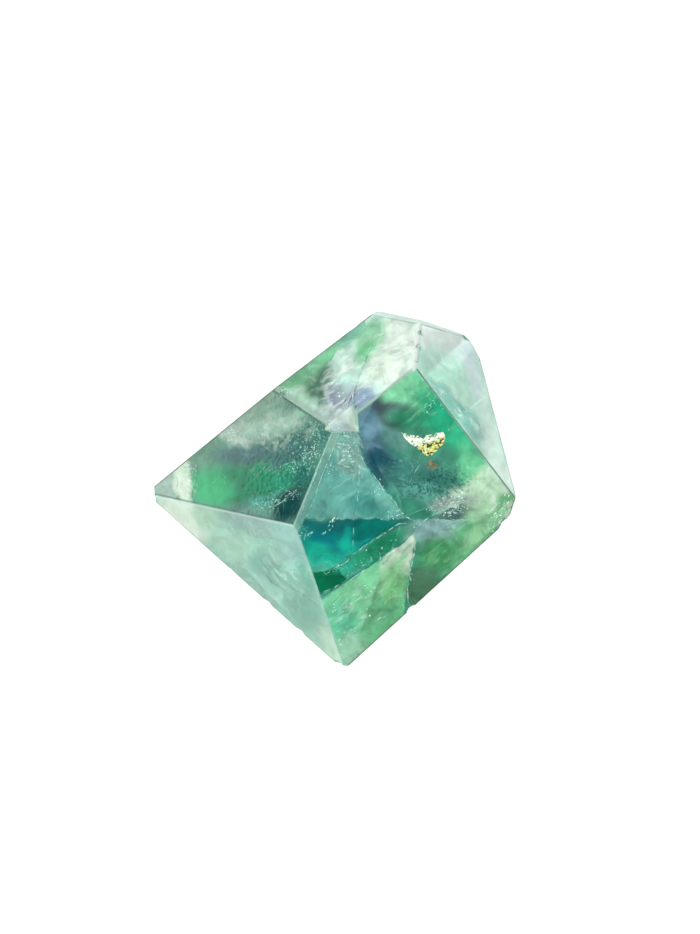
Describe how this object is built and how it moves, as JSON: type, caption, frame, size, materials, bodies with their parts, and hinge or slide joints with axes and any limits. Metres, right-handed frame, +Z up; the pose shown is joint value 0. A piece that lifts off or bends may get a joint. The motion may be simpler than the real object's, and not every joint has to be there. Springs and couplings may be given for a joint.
{
  "type": "fluorite octahedron",
  "caption": "Cleaved green fluorite octahedron: a see-through display crystal with flat sloping faces, worn ridges, small chips and a flat face that it rests on.",
  "frame": {"origin": "under the middle of the crystal's bounding box, on the plane of the small face that it rests on", "axes": "+Z up, square to the rest face. +Y toward the north point of the outline, where the two upper slopes meet the rim. +X toward the east corner, with the long west point on -X."},
  "size_m": [0.0622, 0.0599, 0.0418],
  "materials": {
    "green_fluorite": "gloss"
  },
  "bodies": {
    "root": {"fluorite_crystal": "green_fluorite"}
  },
  "joints": []
}
